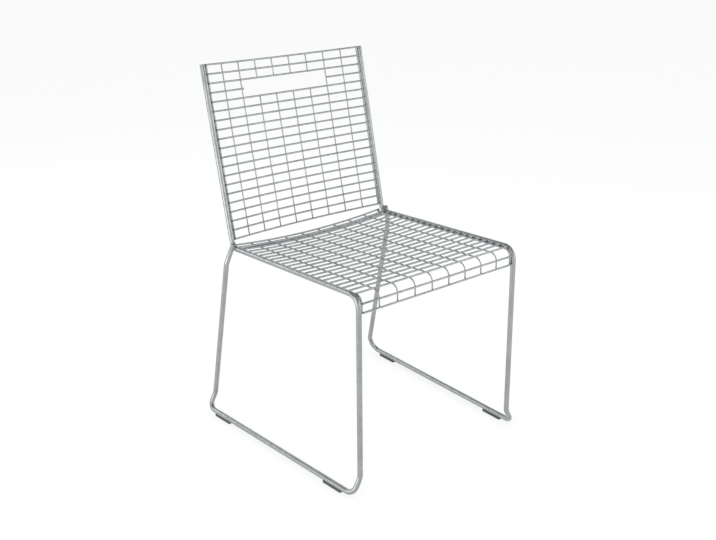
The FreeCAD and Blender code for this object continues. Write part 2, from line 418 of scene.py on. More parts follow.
class NodeTree:
    """A Geometry Nodes tree under construction, with named inputs.

    Attributes:
        group: The node group.
        entry: Its group input node.
    """

    def __init__(self, name: str, inputs: Iterable[tuple[str, str]]) -> None:
        """Start a tree.

        Args:
            name: Name of the tree.
            inputs: Pairs of an input's name and its socket type.
        """
        self.group = bpy.data.node_groups.new(name, "GeometryNodeTree")
        face = self.group.interface
        for title, kind in inputs:
            face.new_socket(title, in_out="INPUT", socket_type=kind)
        face.new_socket("Geometry", in_out="OUTPUT", socket_type="NodeSocketGeometry")
        self.entry = self.group.nodes.new("NodeGroupInput")

    def add(self, kind: str, links: Links | None = None, **settings: Any) -> bpy.types.Node:
        """Add a node to this tree.

        Args:
            kind: Node type.
            links: What feeds each input, by its name or place: a socket, or a plain value.
            **settings: Properties of the node itself.

        Returns:
            The new node.
        """
        return added(self.group, kind, links, **settings)

    def given(self, title: str) -> bpy.types.NodeSocket:
        """Return the socket of a named input."""
        return self.entry.outputs[title]

    def end(self, geometry: bpy.types.NodeSocket) -> None:
        """Close the tree with Realize Instances and Set Material.

        Args:
            geometry: Socket of the finished shape.
        """
        real = self.add("GeometryNodeRealizeInstances", {"Geometry": geometry})
        dressed = self.add(
            "GeometryNodeSetMaterial",
            {"Geometry": real.outputs["Geometry"], "Material": self.given("Finish")},
        )
        self.add("NodeGroupOutput", {"Geometry": dressed.outputs["Geometry"]})

    def noted(
        self,
        geometry: bpy.types.NodeSocket,
        title: str,
        kind: str,
        value: bpy.types.NodeSocket | float,
    ) -> bpy.types.NodeSocket:
        """Store a value on the points of a shape.

        Args:
            geometry: Socket of the shape.
            title: Name of the attribute.
            kind: Its data type.
            value: What is stored.

        Returns:
            The socket of the shape that carries the attribute.
        """
        node = self.add(
            "GeometryNodeStoreNamedAttribute",
            {"Geometry": geometry, "Name": title, "Value": value},
            data_type=kind,
            domain="POINT",
        )
        return node.outputs["Geometry"]

    def noted_before(self, title: str, kind: str) -> bpy.types.NodeSocket:
        """Return the socket of a value that the points already carry."""
        node = self.add("GeometryNodeInputNamedAttribute", {"Name": title}, data_type=kind)
        return node.outputs["Attribute"]

    def bar_along(self, curve: bpy.types.NodeSocket) -> bpy.types.NodeSocket:
        """Sweep the round section along curves and note where each point lies on the bar.

        Args:
            curve: Curves to follow; their attribute girth thins the section at cut ends.

        Returns:
            The smooth shaded mesh, whose attribute flow holds section and length places.
        """
        run = self.add("GeometryNodeSplineParameter")
        along = self.noted(curve, "run", "FLOAT", run.outputs["Length"])
        ring = self.add(
            "GeometryNodeCurvePrimitiveCircle",
            {"Resolution": self.given("Ring Points"), "Radius": self.given("Radius")},
        )
        spot = self.add("GeometryNodeInputPosition")
        round_section = ring.outputs["Curve"]
        around = self.noted(round_section, "around", "FLOAT_VECTOR", spot.outputs["Position"])
        swept = self.add("GeometryNodeCurveToMesh", {
            "Curve": along,
            "Profile Curve": around,
            "Scale": self.noted_before("girth", "FLOAT"),
            "Fill Caps": True,
        })
        place = self.noted_before("around", "FLOAT_VECTOR")
        split = self.add("ShaderNodeSeparateXYZ", {"Vector": place})
        joined = self.add("ShaderNodeCombineXYZ", {
            "X": split.outputs["X"],
            "Y": split.outputs["Y"],
            "Z": self.noted_before("run", "FLOAT"),
        })
        flow = self.noted(swept.outputs["Mesh"], "flow", "FLOAT_VECTOR", joined.outputs["Vector"])
        return self.add("GeometryNodeSetShadeSmooth", {"Geometry": flow}).outputs["Geometry"]


def bars_tree() -> bpy.types.NodeTree:
    """Build the tree that makes rods and wires along paths.

    Returns:
        The node group.
    """
    tree = NodeTree("round_bars_along_paths", [
        ("Paths", "NodeSocketGeometry"),
        ("Radius", "NodeSocketFloat"),
        ("Ring Points", "NodeSocketInt"),
        ("Finish", "NodeSocketMaterial"),
    ])
    curve = tree.add("GeometryNodeMeshToCurve", {"Mesh": tree.given("Paths")})
    tree.end(tree.bar_along(curve.outputs["Curve"]))
    return tree.group


def ladder_tree() -> bpy.types.NodeTree:
    """Build the tree that repeats one bowed wire up the back, with one rung left out.

    Returns:
        The node group.
    """
    tree = NodeTree("bowed_wire_ladder", [
        ("Paths", "NodeSocketGeometry"),
        ("Wire Count", "NodeSocketInt"),
        ("Top Wire Middle", "NodeSocketVector"),
        ("Step", "NodeSocketVector"),
        ("Left End", "NodeSocketVector"),
        ("Bowed Middle", "NodeSocketVector"),
        ("Right End", "NodeSocketVector"),
        ("Left Out", "NodeSocketInt"),
        ("Bow Points", "NodeSocketInt"),
        ("Radius", "NodeSocketFloat"),
        ("Ring Points", "NodeSocketInt"),
        ("Finish", "NodeSocketMaterial"),
    ])
    arc = tree.add(
        "GeometryNodeCurveArc",
        {
            "Resolution": tree.given("Bow Points"),
            "Start": tree.given("Left End"),
            "Middle": tree.given("Bowed Middle"),
            "End": tree.given("Right End"),
        },
        mode="POINTS",
    )
    rung = tree.bar_along(tree.noted(arc.outputs["Curve"], "girth", "FLOAT", 1.0))
    line = tree.add(
        "GeometryNodeMeshLine",
        {
            "Count": tree.given("Wire Count"),
            "Start Location": tree.given("Top Wire Middle"),
            "Offset": tree.given("Step"),
        },
        mode="OFFSET",
    )
    number = tree.add("GeometryNodeInputIndex")
    gone = tree.add("FunctionNodeCompare", data_type="INT", operation="EQUAL")
    ends = [socket for socket in gone.inputs if socket.enabled]
    tree.group.links.new(number.outputs["Index"], ends[0])
    tree.group.links.new(tree.given("Left Out"), ends[1])
    kept = tree.add(
        "GeometryNodeDeleteGeometry",
        {"Geometry": line.outputs["Mesh"], "Selection": gone.outputs["Result"]},
    )
    rungs = tree.add(
        "GeometryNodeInstanceOnPoints",
        {"Points": kept.outputs["Geometry"], "Instance": rung},
    )
    tree.end(rungs.outputs["Instances"])
    return tree.group


def beads_tree() -> bpy.types.NodeTree:
    """Build the tree that sets a slightly uneven weld bead on each point.

    Returns:
        The node group.
    """
    tree = NodeTree("weld_beads_on_points", [
        ("Points", "NodeSocketGeometry"),
        ("Length", "NodeSocketFloat"),
        ("Width", "NodeSocketFloat"),
        ("Height", "NodeSocketFloat"),
        ("Unevenness", "NodeSocketFloat"),
        ("Fineness", "NodeSocketInt"),
        ("Seed", "NodeSocketInt"),
        ("Finish", "NodeSocketMaterial"),
    ])
    round_sizes = {"Radius": 0.5, "Subdivisions": tree.given("Fineness")}
    ball = tree.add("GeometryNodeMeshIcoSphere", round_sizes)
    smooth = tree.add("GeometryNodeSetShadeSmooth", {"Geometry": ball.outputs["Mesh"]})
    turn = tree.add(
        "FunctionNodeAxesToRotation",
        {
            "Primary Axis": tree.noted_before("run", "FLOAT_VECTOR"),
            "Secondary Axis": tree.noted_before("out", "FLOAT_VECTOR"),
        },
        primary_axis="X",
        secondary_axis="Z",
    )
    less = tree.add("ShaderNodeMath", {0: 1.0, 1: tree.given("Unevenness")}, operation="SUBTRACT")
    shrink = tree.add("FunctionNodeRandomValue", data_type="FLOAT")
    bounds = [socket for socket in shrink.inputs if socket.enabled]
    tree.group.links.new(less.outputs["Value"], bounds[0])
    bounds[1].default_value = 1.0
    tree.group.links.new(tree.given("Seed"), shrink.inputs["Seed"])
    size = tree.add(
        "ShaderNodeCombineXYZ",
        {"X": tree.given("Length"), "Y": tree.given("Width"), "Z": tree.given("Height")},
    )
    scaled = tree.add("ShaderNodeVectorMath", {0: size.outputs["Vector"]}, operation="SCALE")
    value = [socket for socket in shrink.outputs if socket.enabled][0]
    tree.group.links.new(value, scaled.inputs["Scale"])
    beads = tree.add(
        "GeometryNodeInstanceOnPoints",
        {
            "Points": tree.given("Points"),
            "Instance": smooth.outputs["Geometry"],
            "Rotation": turn.outputs["Rotation"],
            "Scale": scaled.outputs["Vector"],
        },
    )
    tree.end(beads.outputs["Instances"])
    return tree.group


def made_by(
    name: str,
    carrier: bpy.types.Mesh,
    tree: bpy.types.NodeTree,
    values: dict[str, Any],
    finish: Finish,
) -> bpy.types.Object:
    """Run a tree on a carrier mesh and keep the result as a plain mesh piece.

    Args:
        name: Name of the piece.
        carrier: Mesh of paths or points that the tree reads.
        tree: Geometry Nodes tree.
        values: Values of the tree's inputs, by their titles.
        finish: Finish of the piece.

    Returns:
        The piece, at the origin, with no modifier left.
    """
    helper = bpy.data.objects.new(name + "_helper", carrier)
    bpy.context.scene.collection.objects.link(helper)
    modifier = helper.modifiers.new("shape", "NODES")
    modifier.node_group = tree
    known = dict(values, Finish=finish.material())
    for item in tree.interface.items_tree:
        if item.in_out == "INPUT" and item.name in known:
            modifier[item.identifier] = known[item.name]
    graph = bpy.context.evaluated_depsgraph_get()
    mesh = bpy.data.meshes.new_from_object(helper.evaluated_get(graph), depsgraph=graph)
    bpy.data.objects.remove(helper)
    mesh.name = name
    return as_piece(name, mesh, finish)


def as_piece(name: str, mesh: bpy.types.Mesh, finish: Finish) -> bpy.types.Object:
    """Put a finished mesh into the scene as a piece.

    Args:
        name: Name of the piece.
        mesh: Its mesh, already in place.
        finish: Its finish.

    Returns:
        The piece.
    """
    mesh.set_sharp_from_angle(angle=math.radians(SHARP_ANGLE))
    mesh.materials.clear()
    mesh.materials.append(finish.material())
    piece = bpy.data.objects.new(name, mesh)
    bpy.context.scene.collection.objects.link(piece)
    return piece


def on_chair(piece: bpy.types.Object, slot: str, *nodes: str) -> None:
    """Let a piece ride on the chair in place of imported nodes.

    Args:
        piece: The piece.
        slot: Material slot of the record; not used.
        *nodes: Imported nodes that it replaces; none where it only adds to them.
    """
    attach(piece, "root")
    if nodes:
        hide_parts(*nodes)
    LOG.info("%s: %d faces, replaces %d nodes", piece.name, len(piece.data.polygons), len(nodes))


def paths_mesh(name: str, paths: Iterable[Bar]) -> bpy.types.Mesh:
    """Turn paths into a mesh of edges, in metres.

    Args:
        name: Name of the mesh.
        paths: Pairs of a path in millimetres and the girth at each of its points.

    Returns:
        The mesh, with the girth as a point attribute.
    """
    points: list[Vector] = []
    edges: list[tuple[int, int]] = []
    girths: list[float] = []
    for path, girth in paths:
        first = len(points)
        points.extend(point * MM for point in path)
        edges.extend((first + i, first + i + 1) for i in range(len(path) - 1))
        girths.extend(girth)
    mesh = bpy.data.meshes.new(name)
    mesh.from_pydata([tuple(point) for point in points], edges, [])
    mesh.attributes.new("girth", "FLOAT", "POINT").data.foreach_set("value", girths)
    return mesh


def points_mesh(name: str, spots: Iterable[Spot]) -> bpy.types.Mesh:
    """Turn weld spots into a mesh of points, in metres.

    Args:
        name: Name of the mesh.
        spots: Place in millimetres, direction of the bead and outward direction.

    Returns:
        The mesh, with the directions as point attributes run and out.
    """
    listed = list(spots)
    mesh = bpy.data.meshes.new(name)
    mesh.from_pydata([tuple(place * MM) for place, _, _ in listed], [], [])
    for title, column in (("run", 1), ("out", 2)):
        values = [number for spot in listed for number in spot[column]]
        mesh.attributes.new(title, "FLOAT_VECTOR", "POINT").data.foreach_set("vector", values)
    return mesh


@dataclass(frozen=True)
class BarMaker:
    """Maker of rods and wires along paths.

    Attributes:
        tree: Tree that sweeps bars along paths.
    """

    tree: bpy.types.NodeTree

    def make(
        self,
        name: str,
        paths: Iterable[Bar],
        section: tuple[float, int],
        nodes: Iterable[str],
        finish: Finish = WIRE_ZINC,
    ) -> None:
        """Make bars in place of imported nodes.

        Args:
            name: Name of the piece.
            paths: Paths and girths of the bars.
            section: Radius of a bar in millimetres, and the points around it.
            nodes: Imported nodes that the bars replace.
            finish: Finish of the bars.
        """
        radius, ring_points = section
        values = {"Radius": radius * MM, "Ring Points": ring_points}
        piece = made_by(name, paths_mesh(name, paths), self.tree, values, finish)
        on_chair(piece, finish.slot, *nodes)


@dataclass(frozen=True)
class Bead:
    """Size of a kind of weld bead, in millimetres.

    Attributes:
        length: Length along the weld.
        width: Width across the weld.
        height: Thickness of the bead.
        unevenness: Share by which the smallest bead is smaller.
        fineness: Subdivisions of the bead.
        seed: Seed of the uneven sizes.
        slot: Material slot of the record.
    """

    length: float
    width: float
    height: float
    unevenness: float
    fineness: int
    seed: int
    slot: str

    def set_on(self, name: str, spots: Iterable[Spot], beads: bpy.types.NodeTree) -> None:
        """Set a bead on each weld spot.

        Args:
            name: Name of the piece.
            spots: The weld spots.
            beads: Tree that sets weld beads.
        """
        values = {
            "Length": self.length * MM,
            "Width": self.width * MM,
            "Height": self.height * MM,
            "Unevenness": self.unevenness,
            "Fineness": self.fineness,
            "Seed": self.seed,
        }
        on_chair(made_by(name, points_mesh(name, spots), beads, values, WELD_ZINC), self.slot)


LEG_BEAD = Bead(3.4, 3.0, 1.6, 0.25, 3, 11, ROD_ZINC.slot)
CROSSING_BEAD = Bead(4.0, 3.2, 1.3, 0.22, 2, 3, WIRE_ZINC.slot)
EDGE_BEAD = Bead(3.4, 2.6, 0.7, 0.2, 2, 5, WIRE_ZINC.slot)


# Paths

def eased_ends(path: Path, radius: float, start: bool = True) -> Bar:
    """Break the edges of a bar's cut ends.

    Args:
        path: Path of the bar, in millimetres.
        radius: Radius of the bar.
        start: Whether the first end is eased too, not only the last one.

    Returns:
        The path with extra points near its ends, and the girth at each point.
    """
    eased = list(path)
    girth = [1.0] * len(path)
    ease = CUT_EASE * radius
    if start:
        ahead = (path[1] - path[0]).normalized() * ease
        eased[0:1] = [path[0] + ahead * share for share in CUT_PLACES]
        girth[0:1] = CUT_GIRTHS
    back = (path[-2] - path[-1]).normalized() * ease
    eased[-1:] = [path[-1] + back * share for share in reversed(CUT_PLACES)]
    girth[-1:] = reversed(CUT_GIRTHS)
    return eased, girth


def filleted(points: Sequence[Vector], radii: Sequence[float], turn_step: float = 5.0) -> Path:
    """Round the inner corners of a path.

    Args:
        points: Corners of the path.
        radii: Radius at each inner corner.
        turn_step: Largest turn between two neighbouring points, in degrees.

    Returns:
        The rounded path.
    """
    path = [points[0]]
    for before, corner, after, radius in zip(points, points[1:], points[2:], radii):
        back = (before - corner).normalized()
        ahead = (after - corner).normalized()
        turn = math.pi - back.angle(ahead)
        inward = (back + ahead).normalized()
        centre = corner + inward * (radius / math.cos(turn / 2))
        start = corner + back * radius * math.tan(turn / 2) - centre
        axis = start.cross(-back)
        count = max(2, math.ceil(math.degrees(turn) / turn_step))
        for index in range(count + 1):
            path.append(centre + Matrix.Rotation(turn * index / count, 3, axis) @ start)
    path.append(points[-1])
    return path


def divided(path: Path, longest: float) -> Path:
    """Divide the long runs of a path.

    Args:
        path: The path.
        longest: Longest run that stays whole.

    Returns:
        The path with more points.
    """
    result = [path[0]]
    for start, end in zip(path, path[1:]):
        count = max(1, math.ceil((end - start).length / longest))
        result.extend(start.lerp(end, index / count) for index in range(1, count + 1))
    return result


def bowed(half_length: float, bow: float, facing: Vector, middle: Vector, count: int) -> Path:
    """Sample a wire across the chair, bowed away from the facing side.

    Args:
        half_length: Half of its length across the chair.
        bow: Distance of its middle from the line through its ends.
        facing: Direction away from the bow.
        middle: Middle of the line through its ends.
        count: Number of runs.

    Returns:
        The wire's path, from left to right.
    """
    path = []
    for index in range(count + 1):
        x = half_length * (2 * index / count - 1)
        path.append(middle + Vector((x, 0, 0)) - facing * bow_at(x, bow, half_length))
    return path


def bow_at(x: float, bow: float, half_length: float) -> float:
    """Measure how far a bowed wire lies from its chord.

    Args:
        x: Place across the chair, from the wire's middle.
        bow: Bow at the wire's middle.
        half_length: Half of the chord's length.

    Returns:
        The distance, in the unit of the bow.
    """
    if bow <= 0:
        return 0.0
    radius = (half_length ** 2 + bow ** 2) / (2 * bow)
    return math.sqrt(radius ** 2 - x ** 2) - (radius - bow)


# Sizes shared by the sub-assemblies, in millimetres

@dataclass(frozen=True)
class ChairLines:
    """The chair's driving sizes and middle lines, in millimetres, as the solids have them.

    Attributes:
        rod_radius: Radius of the frame rods.
        side_wire_radius: Radius of the wires beside the mesh.
        cross_wire_radius: Radius of the mesh's cross wires.
        long_wire_radius: Radius of the mesh's lengthwise wires.
        stay_radius: Radius of the rear stay.
        weld_sink: How far two welded wires run into each other.
        half_width: Half of the width between the rods' axes.
        middle_y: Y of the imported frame's origin, in the first datum.
        rear_corner_y: Y of the rear corner, in the first datum.
        rear_corner_height: Height of the rear corner.
        back_lean: Lean of the back from upright, in degrees.
        seat_slope: Rise of the seat rail towards the front, in degrees.
        seat_rail_length: Length of the seat rail between its corners.
        front_knee_y: Y of the front knee, in the first datum.
        knee_height: Height of the knees.
        mesh_rear_drop: Depth of the side wires' axis under the rail's, at the rear.
        mesh_front_drop: The same at the front corner.
        mesh_bend_radius: Bend of the side wires over the front.
        back_pitch: Distance from one back cross wire to the next.
        back_wire_count: Number of back cross wires.
        back_first_rise: Distance of the lowest one from the rear corner.
        back_bow: Depth of the back's bow.
        columns: Gaps that the lengthwise wires leave across the chair.
        seat_pitch: Distance from one seat cross wire to the next.
        seat_wire_count: Number of seat cross wires.
        seat_overhang: Length of the side wires behind the rear corner.
        seat_sag: Sag of the rear cross wire.
        apron_last_pitch: Distance of the lowest apron wire from the one above.
        edge_weld_shift: How far the welds on the side wires sit towards the rod.
        rear_corner: Rear corner of the rods' axes, in the middle plane.
        front_corner: Front corner of the rods' axes, in the middle plane.
        up_back: Direction up the back.
        off_back: Direction square to the back, towards the front.
        down_leg: Direction down the front leg.
        off_leg: Direction square to the front leg, towards the front.
        mesh_rear: Point of the side wires' axes at the rear corner.
        mesh_corner: Front corner of the side wires' axes.
        along_mesh: Direction along the seat mesh, towards the front.
        off_mesh: Direction square to the seat mesh, upwards.
        mesh_turn: Angle of the bend over the front, in radians.
    """

    rod_radius: float = 5.75
    side_wire_radius: float = 2.5
    cross_wire_radius: float = 2.0
    long_wire_radius: float = 1.5
    stay_radius: float = 2.5
    weld_sink: float = 0.3
    half_width: float = 218.5
    middle_y: float = 31.8154
    rear_corner_y: float = 196.0
    rear_corner_height: float = 420.8
    back_lean: float = 12.9
    seat_slope: float = 2.1
    seat_rail_length: float = 430.2
    front_knee_y: float = -238.8
    knee_height: float = 45.0
    mesh_rear_drop: float = 0.6
    mesh_front_drop: float = 2.0
    mesh_bend_radius: float = 16.0
    back_pitch: float = 20.0
    back_wire_count: int = 20
    back_first_rise: float = 18.7
    back_bow: float = 24.0
    columns: int = 9
    seat_pitch: float = 20.0
    seat_wire_count: int = 22
    seat_overhang: float = 4.8
    seat_sag: float = 11.0
    apron_last_pitch: float = 18.5
    edge_weld_shift: float = 0.3

    rear_corner: Vector = field(init=False)
    front_corner: Vector = field(init=False)
    up_back: Vector = field(init=False)
    off_back: Vector = field(init=False)
    down_leg: Vector = field(init=False)
    off_leg: Vector = field(init=False)
    mesh_rear: Vector = field(init=False)
    mesh_corner: Vector = field(init=False)
    along_mesh: Vector = field(init=False)
    off_mesh: Vector = field(init=False)
    mesh_turn: float = field(init=False)

    def __post_init__(self) -> None:
        """Work out the directions and corners in the chair's middle plane."""
        lean = math.radians(self.back_lean)
        slope = math.radians(self.seat_slope)
        along = Vector((0, -math.cos(slope), math.sin(slope)))
        off_seat = Vector((0, math.sin(slope), math.cos(slope)))
        rear = Vector((0, self.rear_corner_y - self.middle_y, self.rear_corner_height))
        front = rear + along * self.seat_rail_length
        knee = Vector((0, self.front_knee_y - self.middle_y, self.knee_height))
        down = (knee - front).normalized()
        spread_down = along * math.tan(along.angle(down) / 2) + off_seat
        mesh_rear = rear - off_seat * self.mesh_rear_drop
        mesh_corner = front - spread_down * self.mesh_front_drop
        along_mesh = (mesh_corner - mesh_rear).normalized()
        worked_out = {
            "rear_corner": rear,
            "front_corner": front,
            "up_back": Vector((0, math.sin(lean), math.cos(lean))),
            "off_back": Vector((0, -math.cos(lean), math.sin(lean))),
            "down_leg": down,
            "off_leg": Vector((0, down.z, -down.y)),
            "mesh_rear": mesh_rear,
            "mesh_corner": mesh_corner,
            "along_mesh": along_mesh,
            "off_mesh": Vector((0, along_mesh.z, -along_mesh.y)),
            "mesh_turn": along_mesh.angle(down),
        }
        for title, value in worked_out.items():
            object.__setattr__(self, title, value)

    @property
    def mesh_half_width(self) -> float:
        """Half of the width between the rods, which the cross wires fill."""
        return self.half_width - self.rod_radius

    @property
    def side_wire_x(self) -> float:
        """Place across the chair of the side wires."""
        return self.mesh_half_width - self.side_wire_radius

    @property
    def edge_weld_x(self) -> float:
        """Place across the chair of the welds on the side wires, a little towards the rod."""
        return self.side_wire_x + self.edge_weld_shift

    @property
    def weld_depth(self) -> float:
        """Distance from a cross wire's axis to the middle of its welds."""
        return self.cross_wire_radius - self.weld_sink / 2

    @property
    def cross_lift(self) -> float:
        """Height of the cross wires over the side wires' axis."""
        return self.side_wire_radius + self.cross_wire_radius - self.weld_sink

    @property
    def long_gap(self) -> float:
        """Distance between the axes of a cross wire and a lengthwise wire."""
        return self.cross_wire_radius + self.long_wire_radius - self.weld_sink

    @property
    def upright_length(self) -> float:
        """Length of the back rods above the rear corner."""
        wires = (self.back_wire_count - 1) * self.back_pitch
        return self.back_first_rise + wires + self.cross_wire_radius

    def at(self, x: float, y: float, z: float) -> Vector:
        """Return a point given in the chair's first datum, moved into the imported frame."""
        return Vector((x, y - self.middle_y, z))

    def column_x(self, column: int) -> float:
        """Return the place across the chair of a lengthwise wire."""
        return self.mesh_half_width * (2 * column / self.columns - 1)


def mirrored(outline: Sequence[tuple[float, float]]) -> list[tuple[float, float]]:
    """Return an outline's mirror image, which runs on from its last point."""
    return [(-across, height) for across, height in reversed(outline)]


def at_x(point: Vector, x: float) -> Vector:
    """Return the point, moved across the chair to x."""
    return Vector((x, point.y, point.z))


# Sub-assemblies

@dataclass
class SideFrames:
    """The two bent rods, each welded to its own rear corner.

    Attributes:
        lines: The chair's shared sizes.
        rear_corner_radius: Bend between upright and seat rail.
        front_corner_radius: Bend between seat rail and front leg.
        floor_rail_height: Height of the floor rail's axis.
        floor_corner_radius: Bend at both ends of the floor rail.
        rail_front: Y and half width at the floor rail's front corner.
        rail_rear: Y and half width at its rear corner.
        knee_radius: Bend at the knees.
        rear_knee: Y and half width at the rear knee.
        leg_bend: Half width, Y and height where the rear leg turns in.
        leg_bend_radius: Bend there.
        leg_end: Half width, Y and height of the rear leg's end.
        ring_points: Points around the rod.
        seam_rise: Height above the leg's bend from which its seam is looked for.
        seam_points: Points at the end of the path between which it is looked for.
        seam_steps: Longest runs of the corner and of the leg's end in that search.
        seam_angles: Lines around the leg on which the seam is looked for.
        seam_gaps: Shortest and longest way from one weld bead to the next.
    """

    lines: ChairLines
    rear_corner_radius: float = 22.0
    front_corner_radius: float = 26.0
    floor_rail_height: float = 10.5
    floor_corner_radius: float = 20.0
    rail_front: tuple[float, float] = (-240.0, 237.8)
    rail_rear: tuple[float, float] = (270.0, 258.3)
    knee_radius: float = 25.0
    rear_knee: tuple[float, float] = (266.1, 241.0)
    leg_bend: tuple[float, float, float] = (238.2, 195.0, 389.0)
    leg_bend_radius: float = 40.0
    leg_end: tuple[float, float, float] = (222.5, 188.5, 432.0)
    ring_points: int = 28
    seam_rise: float = 8.0
    seam_points: int = 12
    seam_steps: tuple[float, float] = (2.0, 0.7)
    seam_angles: int = 120
    seam_gaps: tuple[float, float] = (0.05, 6.0)

    def corners(self, side: Side) -> Path:
        """Place the rod's corners.

        Args:
            side: Which rod.

        Returns:
            The corners, from the top of the upright to the leg's end.
        """
        sign = side.value
        line = self.lines
        end_x, end_y, end_z = self.leg_end
        bend_x, bend_y, bend_z = self.leg_bend
        width = sign * line.half_width
        return [
            at_x(line.rear_corner + line.up_back * line.upright_length, width),
            at_x(line.rear_corner, width),
            at_x(line.front_corner, width),
            line.at(width, line.front_knee_y, line.knee_height),
            line.at(sign * self.rail_front[1], self.rail_front[0], self.floor_rail_height),
            line.at(sign * self.rail_rear[1], self.rail_rear[0], self.floor_rail_height),
            line.at(sign * self.rear_knee[1], self.rear_knee[0], line.knee_height),
            line.at(sign * bend_x, bend_y, bend_z),
            line.at(sign * end_x, end_y, end_z),
        ]

    def path(self, side: Side) -> Path:
        """Round the rod's corners.

        Args:
            side: Which rod.

        Returns:
            The rod's path.
        """
        radii = [
            self.rear_corner_radius,
            self.front_corner_radius,
            self.knee_radius,
            self.floor_corner_radius,
            self.floor_corner_radius,
            self.knee_radius,
            self.leg_bend_radius,
        ]
        return filleted(self.corners(side), radii)

    def leg_weld(self, side: Side) -> list[Spot]:
        """Find the seam where the leg's end meets the rear corner, in the path's first quarter.

        Args:
            side: Which rod.

        Returns:
            Weld spots along the seam, each with its run and outward direction.
        """
        path = self.path(side)
        corner_step, end_step = self.seam_steps
        corner_run = divided(path[: len(path) // 4], corner_step)
        end_run = divided(path[-self.seam_points:], end_step)
        radius = self.lines.rod_radius
        nearest, farthest = self.seam_gaps
        spots: dict[int, list[tuple[Vector, Vector]]] = {}
        for middle, ahead in zip(end_run, end_run[1:]):
            if middle.z < self.leg_bend[2] + self.seam_rise:
                continue
            axis = (ahead - middle).normalized()
            first = axis.orthogonal().normalized()
            second = axis.cross(first)
            last_gap = None
            for step in range(self.seam_angles + 1):
                angle = step * math.tau / self.seam_angles
                out = first * math.cos(angle) + second * math.sin(angle)
                point = middle + out * radius
                gap = nearest_distance(point, corner_run) - radius
                if last_gap is not None and (gap > 0) != (last_gap > 0):
                    side_of_leg = 1 if out.y > 0 else -1
                    spots.setdefault(side_of_leg, []).append((point, out))
                last_gap = gap
        welds = []
        for seam in spots.values():
            for (point, out), (following, _) in zip(seam, seam[1:]):
                run = following - point
                if nearest < run.length < farthest:
                    welds.append((point, run.normalized(), out))
        return welds

    def build(self, bars: BarMaker, beads: bpy.types.NodeTree) -> None:
        """Make both rods and the welds at their rear corners.

        Args:
            bars: Maker of bars along paths.
            beads: Tree that sets weld beads.
        """
        seams: list[Spot] = []
        radius = self.lines.rod_radius
        for side in Side:
            rod = eased_ends(divided(self.path(side), LONGEST_RUN), radius)
            section = (radius, self.ring_points)
            nodes = ["side_frame_" + side.word]
            bars.make("frame_rod_" + side.word, [rod], section, nodes, ROD_ZINC)
            seams.extend(self.leg_weld(side))
        LEG_BEAD.set_on("leg_end_welds", seams, beads)


def nearest_distance(point: Vector, path: Path) -> float:
    """Measure how far a point lies from a path.

    Args:
        point: The point.
        path: The path.

    Returns:
        The shortest distance to any of its runs.
    """
    best = math.inf
    for start, end in zip(path, path[1:]):
        run = end - start
        share = max(0.0, min(1.0, (point - start).dot(run) / run.length_squared))
        best = min(best, (start + run * share - point).length)
    return best


